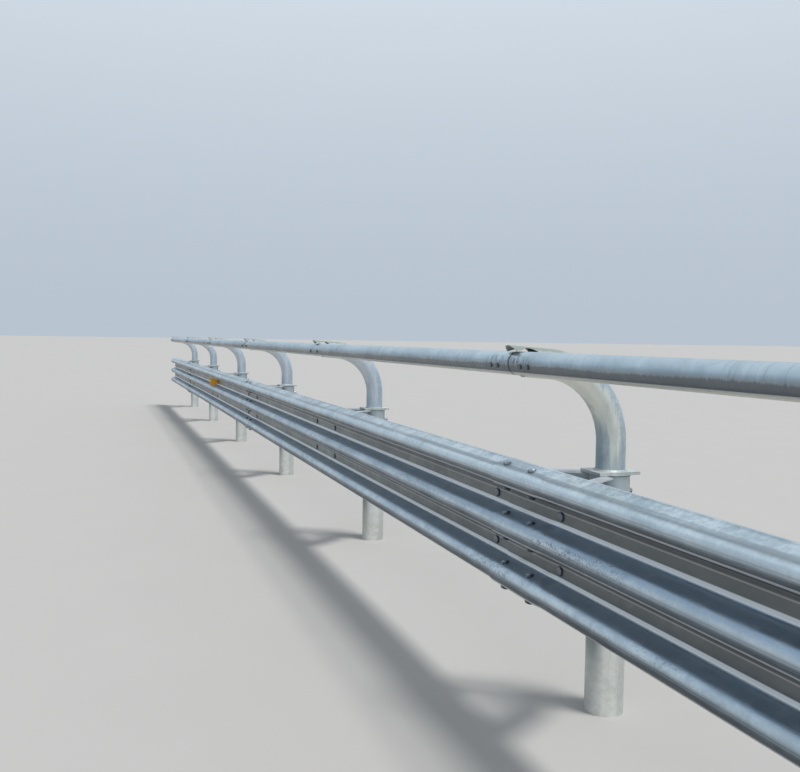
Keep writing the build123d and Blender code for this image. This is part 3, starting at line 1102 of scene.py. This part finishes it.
@dataclass(frozen=True)
class Fastener:
    """One kind of bolt with its washer and nut."""

    head: HeadShape
    head_radius: float
    head_height: float
    shank_radius: float
    washer_radius: float = 0.0
    washer_height: float = 0.003
    washer_ease: float = 0.3
    nut_radius: float = 0.017
    nut_height: float = 0.014
    tail: float = 0.010
    nut_washer: float = 1.28
    chamfer: float = 0.22
    thread: float = 0.002
    thread_root: float = 0.90
    sunk: float = 0.001
    corner: float = 0.13
    round_steps: int = 20
    shank_steps: int = 12
    button_foot: tuple[Span, ...] = ((0.0, 0.0), (0.97, 0.0), (1.0, 0.18), (0.97, 0.42))
    button_crown: tuple[Span, ...] = ((0.86, 0.68), (0.66, 0.86), (0.38, 0.97), (0.0, 1.0))

    def fit(self, piece: Workpiece, seat: Vector, axis: Vector, grip: float, about: float) -> None:
        """Put the head on its seat and the nut on the far side of the grip.

        Args:
            piece: The workpiece that takes the mesh.
            seat: Point of the surface under the head.
            axis: The way the head faces.
            grip: Thickness between the head and the washer at the back.
            about: Turn of the hex about the axis.
        """
        self.cap(piece, seat, axis, about)
        self.nut(piece, seat - axis.normalized() * grip, -axis, about)

    def cap(self, piece: Workpiece, seat: Vector, axis: Vector, about: float = 0.0) -> None:
        """Put only the head on its seat, over its washer if it has one.

        Args:
            piece: The workpiece that takes the mesh.
            seat: Point of the surface under the head.
            axis: The way the head faces.
            about: Turn of the hex about the axis.
        """
        foot = seat
        if self.washer_radius > 0.0:
            self._disc(piece, self.washer_radius, turned_to(seat, axis))
            foot = seat + axis.normalized() * self.washer_height
        if self.head is HeadShape.HEX:
            self._hex(piece, self.head_radius, self.head_height, turned_to(foot, axis, about))
            return
        button = self.button_foot + self.button_crown
        outline = [(self.head_radius * across, self.head_height * up) for across, up in button]
        piece.add(spun(outline, self.round_steps), turned_to(foot, axis))

    def nut(self, piece: Workpiece, seat: Vector, axis: Vector, about: float = 0.0) -> None:
        """Put a washer, a nut and the bolt's threaded end on a seat.

        Args:
            piece: The workpiece that takes the mesh.
            seat: Point of the surface under the washer.
            axis: The way the bolt's end points.
            about: Turn of the nut about the axis.
        """
        way = axis.normalized()
        self._disc(piece, self.nut_radius * self.nut_washer, turned_to(seat, axis))
        foot = seat + way * self.washer_height
        self._hex(piece, self.nut_radius, self.nut_height, turned_to(foot, axis, about))
        edge, thread = self.shank_radius, self.thread
        chamfer = edge * self.chamfer
        count = max(1, int((self.tail - chamfer) / thread))
        rings = [(0.0, -self.sunk), (edge, -self.sunk)]
        for k in range(count):
            rings += [(edge, k * thread), (edge * self.thread_root, (k + 0.5) * thread)]
        top = count * thread
        rings += [(edge, top), (edge - chamfer, top + chamfer), (0.0, top + chamfer)]
        piece.add(spun(rings, self.shank_steps), turned_to(foot + way * self.nut_height, axis))

    def _disc(self, piece: Workpiece, radius: float, at: Matrix) -> None:
        """Turn a flat washer with eased edges.

        Args:
            piece: The workpiece that takes the mesh.
            radius: Outer radius of the washer.
            at: Where it lies.
        """
        height = self.washer_height
        ease = height * self.washer_ease
        rim = [(radius, 0.0), (radius, height - ease), (radius - ease, height)]
        piece.add(spun([(0.0, 0.0), *rim, (0.0, height)], self.round_steps), at)

    def _hex(self, piece: Workpiece, radius: float, height: float, at: Matrix) -> None:
        """Build a hexagonal head or nut with eased corners.

        Args:
            piece: The workpiece that takes the mesh.
            radius: Radius over the corners.
            height: Height of the hexagon.
            at: Where it stands.
        """
        part = bmesh.new()
        bmesh.ops.create_cone(part, cap_ends=True, segments=6, radius1=radius, radius2=radius, depth=height)
        bmesh.ops.translate(part, verts=part.verts, vec=(0.0, 0.0, height / 2.0))
        top = [edge for edge in part.edges if all(vert.co.z > height * 0.9 for vert in edge.verts)]
        eased(part, top, radius * self.corner, 2)
        piece.add(part, at)


SPLICE_BOLT = Fastener(HeadShape.DOMED, 0.0165, 0.0115, 0.008, nut_radius=0.0155, nut_height=0.013)
POST_BOLT = Fastener(HeadShape.DOMED, 0.0185, 0.0080, 0.009, nut_radius=0.0175, nut_height=0.015)
RAIL_BOLT = Fastener(HeadShape.DOMED, 0.0115, 0.0065, 0.006, nut_radius=0.0110, nut_height=0.009, tail=0.006)
THROUGH_BOLT = Fastener(
    HeadShape.HEX, 0.0155, 0.0110, 0.009, washer_radius=0.0200, nut_radius=0.0155, tail=0.008
)


@dataclass
class RowWork:
    """What each set of added pieces is made from."""

    sizes: RowSizes
    finishes: Finishes


@dataclass
class BeamBolts(RowWork):
    """Bolts that join the beam's panels and hold it to the brackets."""

    reflector_foot: float = 0.0025
    splice_turn: float = 0.4
    post_turn: float = 0.3

    def build(self) -> None:
        """Build the bolts of every lap and every post."""
        for k, x in enumerate(self.sizes.splices, start=1):
            self._lap(f"splice_bolts_{k}", x)
        for k, x in enumerate(self.sizes.posts, start=1):
            self._post(f"post_bolts_{k}", x)

    def _lap(self, name: str, x: float) -> None:
        """Fit the twelve bolts of one lap.

        Args:
            name: Name of the piece.
            x: Where the lap is along the row.
        """
        sizes = self.sizes
        piece = Workpiece(name, self.finishes.bolt, "beam_zinc")
        front = sizes.lap + sizes.sheet / 2.0
        for column in (1, -1):
            along = x + sizes.splice_shift + column * sizes.splice_bolt_offset
            for crest in sizes.crests:
                for side in (1, -1):
                    middle, facing = sizes.splice_seat(crest, side)
                    seat = middle + facing * front + Vector((along, 0.0, 0.0))
                    about = self.splice_turn * column + side
                    SPLICE_BOLT.fit(piece, seat, facing, front + sizes.sheet / 2.0, about)
        piece.done()

    def _post(self, name: str, x: float) -> None:
        """Fit the four bolts that hold the beam to one bracket.

        Args:
            name: Name of the piece.
            x: Where the post is along the row.
        """
        sizes = self.sizes
        piece = Workpiece(name, self.finishes.bolt, "beam_zinc")
        reflector = (1, sizes.valleys[0], sizes.posts[sizes.reflector_post])
        for column in (1, -1):
            for level in sizes.valleys:
                place = (column, level, x)
                extra = self.reflector_foot if place == reflector else 0.0
                face = -sizes.beam_back - sizes.sheet - extra
                seat = Vector((x + column * sizes.post_bolt_offset, face, level))
                grip = sizes.sheet + sizes.bracket_sheet + extra
                POST_BOLT.fit(piece, seat, TO_ROAD, grip, self.post_turn * column + level)
        piece.done()


@dataclass
class PostBolts(RowWork):
    """Through bolts that hold each bracket to its post."""

    drop: float = 0.073
    slack: float = 0.0003
    lift: float = 0.0002
    turn: float = 0.5

    def build(self) -> None:
        """Fit two bolts at each post."""
        sizes = self.sizes
        front = sizes.post_radius + sizes.bracket_sheet + self.slack
        bottom = sizes.bracket_top - sizes.bracket_height
        for k, x in enumerate(sizes.posts, start=1):
            piece = Workpiece(f"bracket_bolts_{k}", self.finishes.bolt, "bracket_zinc")
            for level in (sizes.bracket_top - self.drop, bottom + self.drop):
                seat = Vector((x, -front - self.lift, level))
                THROUGH_BOLT.fit(piece, seat, TO_ROAD, front + sizes.post_radius, self.turn)
            piece.done()


@dataclass
class RailBolts(RowWork):
    """Small bolts that hold the top rail to its cradles and sleeves."""

    tilt: float = math.radians(12.0)
    near: float = 0.092
    far: float = 0.148
    head_sunk: float = 0.0012
    nut_sunk: float = 0.0010

    def build(self) -> None:
        """Fit the bolts at each post, with two more where the rail is joined."""
        sizes = self.sizes
        axis = Vector((0.0, -math.cos(self.tilt), -math.sin(self.tilt)))
        core = Vector((0.0, -sizes.rail_out, sizes.rail_height))
        for k, x in enumerate(sizes.posts, start=1):
            piece = Workpiece(f"rail_bolts_{k}", self.finishes.bolt, "rail_zinc")
            offsets = [self.near, -self.near]
            if x in sizes.splices:
                offsets += [self.far, -self.far]
            for offset in offsets:
                along = Vector((x + offset, 0.0, 0.0))
                RAIL_BOLT.cap(piece, core + axis * (sizes.rail_radius - self.head_sunk) + along, axis)
                RAIL_BOLT.nut(piece, core - axis * (sizes.cradle_back - self.nut_sunk) + along, -axis)
            piece.done()


@dataclass
class WeldBeads(RowWork):
    """Weld beads where pipes meet plates."""

    crease: float = math.radians(75.0)
    upper_leg: float = 0.0068
    lower_leg: float = 0.0060
    ring_steps: int = 96
    sunk: float = 0.0006
    dip: float = 0.0004
    fillet: tuple[Span, ...] = ((0.62, 0.50), (0.34, 0.74))
    ripple: float = 0.00055
    ripples: float = 31.0
    swell: float = 0.0004
    swells: float = 3.0
    cradle_bead: float = 0.0042
    cradle_steps: int = 26
    cradle_wander: float = 0.0006
    cradle_swell: float = 0.16
    cradle_sunk: float = 0.0008

    def build(self) -> None:
        """Lay the beads of every post."""
        for k, x in enumerate(self.sizes.posts, start=1):
            self._foot_beads(f"flange_welds_{k}", x)
            self._cradle_beads(f"cradle_weld_{k}", x)

    def _foot_beads(self, name: str, x: float) -> None:
        """Lay the beads above and below the flange plate.

        Args:
            name: Name of the piece.
            x: Where the post is along the row.
        """
        sizes = self.sizes
        piece = Workpiece(name, self.finishes.weld, "flange_zinc", crease=self.crease)
        self._ring(piece, sizes.upper_radius, self.upper_leg, Vector((x, 0.0, sizes.flange_top)), UP)
        self._ring(piece, sizes.post_radius, self.lower_leg, Vector((x, 0.0, sizes.post_top)), -UP)
        piece.done()

    def _ring(self, piece: Workpiece, radius: float, leg: float, foot: Vector, way: Vector) -> None:
        """Spin a fillet bead round a pipe and press its ripples into it.

        Args:
            piece: The workpiece that takes the mesh.
            radius: Radius of the pipe.
            leg: How far the bead reaches along the pipe and the plate.
            foot: Middle of the ring on the plate.
            way: The way the pipe leaves the plate.
        """
        face = [(leg * out, leg * high) for out, high in self.fillet]
        outline = [(-self.sunk, -self.dip), (leg, -self.dip), *face, (-self.sunk, leg)]
        part = spun([(radius + out, high) for out, high in outline], self.ring_steps, closed=True)
        for vert in part.verts:
            turn = math.atan2(vert.co.y, vert.co.x)
            ripple = self.ripple * math.sin(turn * self.ripples + 0.7 * math.sin(turn * 5.0))
            ripple += self.swell * math.sin(turn * self.swells + foot.x)
            if vert.co.z > 0.0 and vert.co.xy.length > radius:
                vert.co += Vector((math.cos(turn), math.sin(turn), 0.8)) * ripple
        piece.add(part, turned_to(foot, way))

    def _cradle_beads(self, name: str, x: float) -> None:
        """Lay a bead on each side where the leaning pipe's end meets the cradle plate.

        Args:
            name: Name of the piece.
            x: Where the post is along the row.
        """
        piece = Workpiece(name, self.finishes.weld, "cradle_zinc", crease=self.crease)
        for mirror in (1.0, -1.0):
            self._bead(piece, [Vector((x + mirror * spot.x, spot.y, spot.z)) for spot in self._cradle_line()])
        piece.done()

    def _cradle_line(self) -> list[Vector]:
        """Work out where the pipe's skin crosses the cradle's back, on the +X side of the pipe.

        Returns:
            The line's points, from the top down.
        """
        sizes = self.sizes
        lean_sine, lean_cosine = math.sin(sizes.pipe_lean), math.cos(sizes.pipe_lean)
        drop = sizes.pipe_axis_height - sizes.rail_height
        start, stop = (
            math.asin((sizes.cradle_back * math.sin(angle) - drop) / sizes.upper_radius)
            for angle in (sizes.cradle_upper, -sizes.cradle_lower)
        )
        spots = []
        for k in range(self.cradle_steps + 1):
            turn = start + (stop - start) * k / self.cradle_steps
            back = sizes.upper_radius * math.sin(turn) * lean_sine
            rise = drop + sizes.upper_radius * math.sin(turn) * lean_cosine
            reach = max(0.0, sizes.cradle_back**2 - (back * lean_sine + rise * lean_cosine) ** 2)
            along = back * lean_cosine - rise * lean_sine - math.sqrt(reach)
            aside = sizes.upper_radius * math.cos(turn) + self.cradle_wander * math.sin(k * 2.3)
            out = -sizes.rail_out + back - along * lean_cosine + self.cradle_sunk
            spots.append(Vector((aside, out, sizes.rail_height + rise + along * lean_sine)))
        return spots

    def _bead(self, piece: Workpiece, spots: list[Vector]) -> None:
        """Run one round bead along a line of points.

        Args:
            piece: The workpiece that takes the mesh.
            spots: The line's points.
        """
        curve = bpy.data.curves.new("bead", "CURVE")
        curve.dimensions = "3D"
        curve.bevel_depth = self.cradle_bead
        curve.bevel_resolution = 2
        curve.use_fill_caps = True
        line = curve.splines.new("POLY")
        line.points.add(len(spots) - 1)
        for point, spot in zip(line.points, spots):
            point.co = (*spot, 1.0)
            point.radius = 1.0 + self.cradle_swell * math.sin(spot.x * 900.0 + spot.z * 700.0)
        holder = linked("bead_line", curve)
        bpy.context.view_layer.update()
        made = bpy.data.meshes.new_from_object(holder.evaluated_get(bpy.context.evaluated_depsgraph_get()))
        bpy.data.objects.remove(holder)
        part = bmesh.new()
        part.from_mesh(made)
        bpy.data.meshes.remove(made)
        piece.add(part, Matrix.Identity(4))


@dataclass
class Reflector(RowWork):
    """Amber faces on both sides of the reflector's plate."""

    slot: str = "reflector_amber"
    inset: float = 0.006
    skin: float = 0.0009
    plate: float = 0.006
    broad_end: float = 0.26
    corner: float = 0.004
    crease: float = math.radians(30.0)

    def build(self) -> None:
        """Lay a sheet of amber on each side of the plate's broad end."""
        low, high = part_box("reflector")
        depth = (high.y - low.y) * self.broad_end
        size = Vector((self.skin, depth, high.z - low.z - 2.0 * self.inset))
        middle = Vector((0.0, low.y + self.inset * 0.6 + depth / 2.0, (high.z + low.z) / 2.0))
        sides = (("amber_face_near", low.x + self.plate, 1.0), ("amber_face_far", low.x, -1.0))
        for name, face, way in sides:
            piece = Workpiece(name, self.finishes.by_slot[self.slot], self.slot, crease=self.crease)
            part = bmesh.new()
            bmesh.ops.create_cube(part, size=1.0)
            bmesh.ops.scale(part, vec=size, verts=part.verts)
            across = [abs(edge.verts[0].co.x - edge.verts[1].co.x) > self.skin / 2.0 for edge in part.edges]
            eased(part, [edge for edge, is_across in zip(part.edges, across) if is_across], self.corner, 3)
            middle.x = face + way * self.skin * 0.5
            piece.add(part, Matrix.Translation(middle))
            piece.done()


@dataclass
class Row:
    """The CAD nodes of the row, which keep their shape and get their finishes."""

    frame: dict
    finishes: Finishes

    def dress(self) -> None:
        """Give each node the finish of its slot in the record."""
        slots = {entry["node"]: entry["material_slot"] for entry in self.frame["record"]["subparts"]}
        for name, node in self.frame["nodes"].items():
            material = self.finishes.by_slot[slots[name]]
            node.data.materials.clear()
            node.data.materials.append(material)
            LOG.info("%s wears %s", name, material.name)


@dataclass(frozen=True)
class Lamp:
    """One soft lamp of the studio."""

    name: str
    strength: float
    way: Triple
    spread: float


@dataclass
class Studio:
    """Floor, light and camera, none of which is part of the object."""

    floor_half: float = 600.0
    floor_colour: Triple = (0.46, 0.45, 0.435)
    horizon: Triple = (0.48, 0.55, 0.63)
    zenith: Triple = (0.80, 0.88, 0.96)
    zenith_height: float = 0.75
    sky_light: float = 0.66
    lamps: tuple[Lamp, ...] = (
        Lamp("key", 2.6, (0.24, 0.24, 0.94), math.radians(14.0)),
        Lamp("fill", 0.26, (0.55, -0.65, 0.50), math.radians(50.0)),
    )
    lamp_colour: Triple = (1.0, 0.985, 0.955)
    lamp_distance: float = 20.0
    camera_place: Triple = (8.8215, -1.8838, 1.4538)
    lens: float = 38.177
    yaw: float = math.radians(19.65)
    pitch: float = math.radians(3.17)
    roll: float = math.radians(0.84)

    def build(self) -> None:
        """Set up the whole studio."""
        self._floor()
        self._sky()
        self._lamps()
        self._camera()
        bpy.context.scene.view_settings.view_transform = "Standard"

    def _floor(self) -> None:
        """Lay a plain pale floor with a faint tooth."""
        part = bmesh.new()
        bmesh.ops.create_grid(part, x_segments=1, y_segments=1, size=self.floor_half)
        data = bpy.data.meshes.new("floor")
        part.to_mesh(data)
        part.free()
        floor = linked("floor", data)
        material, tree, place, shader = new_material("pale_floor")
        low = tuple(value * 0.95 for value in self.floor_colour)
        colour = tree.mix(tree.noise(place, 1.6, 6.0, 0.6), low, self.floor_colour)
        tree.feed(shader, {"Base Color": colour, "Roughness": 0.9, "Specular IOR Level": 0.1})
        data.materials.append(material)

    def _sky(self) -> None:
        """Light the row from a soft sky that pales upward, before a plain pale backdrop."""
        world = bpy.data.worlds.new("pale_sky")
        bpy.context.scene.world = world
        world.use_nodes = True
        tree = Tree(world.node_tree)
        height = tree.axes(tree.read("Generated", "ShaderNodeTexCoord"))[2]
        dome = tree.mix(height.ramp((0.0, self.zenith_height)), self.horizon, self.zenith)
        path = tree.reads("ShaderNodeLightPath")
        seen = path["Is Camera Ray"].most(path["Is Glossy Ray"], path["Is Transmission Ray"])
        strength = seen * (1.0 - self.sky_light) + self.sky_light
        tree.feed(world.node_tree.nodes["Background"], {"Color": dome, "Strength": strength})

    def _lamps(self) -> None:
        """Hang one broad soft lamp high on the field side and a weak one toward the road."""
        for lamp in self.lamps:
            data = bpy.data.lights.new(lamp.name, "SUN")
            data.energy = lamp.strength
            data.angle = lamp.spread
            data.color = self.lamp_colour
            way = Vector(lamp.way)
            linked(lamp.name, data).matrix_world = turned_to(way * self.lamp_distance, way)

    def _camera(self) -> None:
        """Stand the camera where the photograph was taken from."""
        across = math.cos(self.pitch)
        look = Vector((-math.cos(self.yaw) * across, math.sin(self.yaw) * across, -math.sin(self.pitch)))
        right = look.cross(UP).normalized()
        level = Matrix((right, right.cross(look), -look)).transposed()
        turn = level @ Matrix.Rotation(self.roll, 3, "Z")
        data = bpy.data.cameras.new("camera")
        data.sensor_fit = "HORIZONTAL"
        data.sensor_width = 36.0
        data.lens = self.lens
        data.clip_end = 2000.0
        camera = linked("camera", data)
        camera.matrix_world = Matrix.Translation(self.camera_place) @ turn.to_4x4()
        bpy.context.scene.camera = camera


def main() -> None:
    """Build the dressed row piece by piece."""
    logging.basicConfig(level=logging.INFO, format="%(name)s %(message)s")
    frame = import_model()
    sizes = RowSizes()
    finishes = Finishes().build()
    Row(frame, finishes).dress()
    for kind in (BeamBolts, PostBolts, RailBolts, WeldBeads, Reflector):
        kind(sizes, finishes).build()
    Studio().build()


if __name__ == "__main__":
    main()
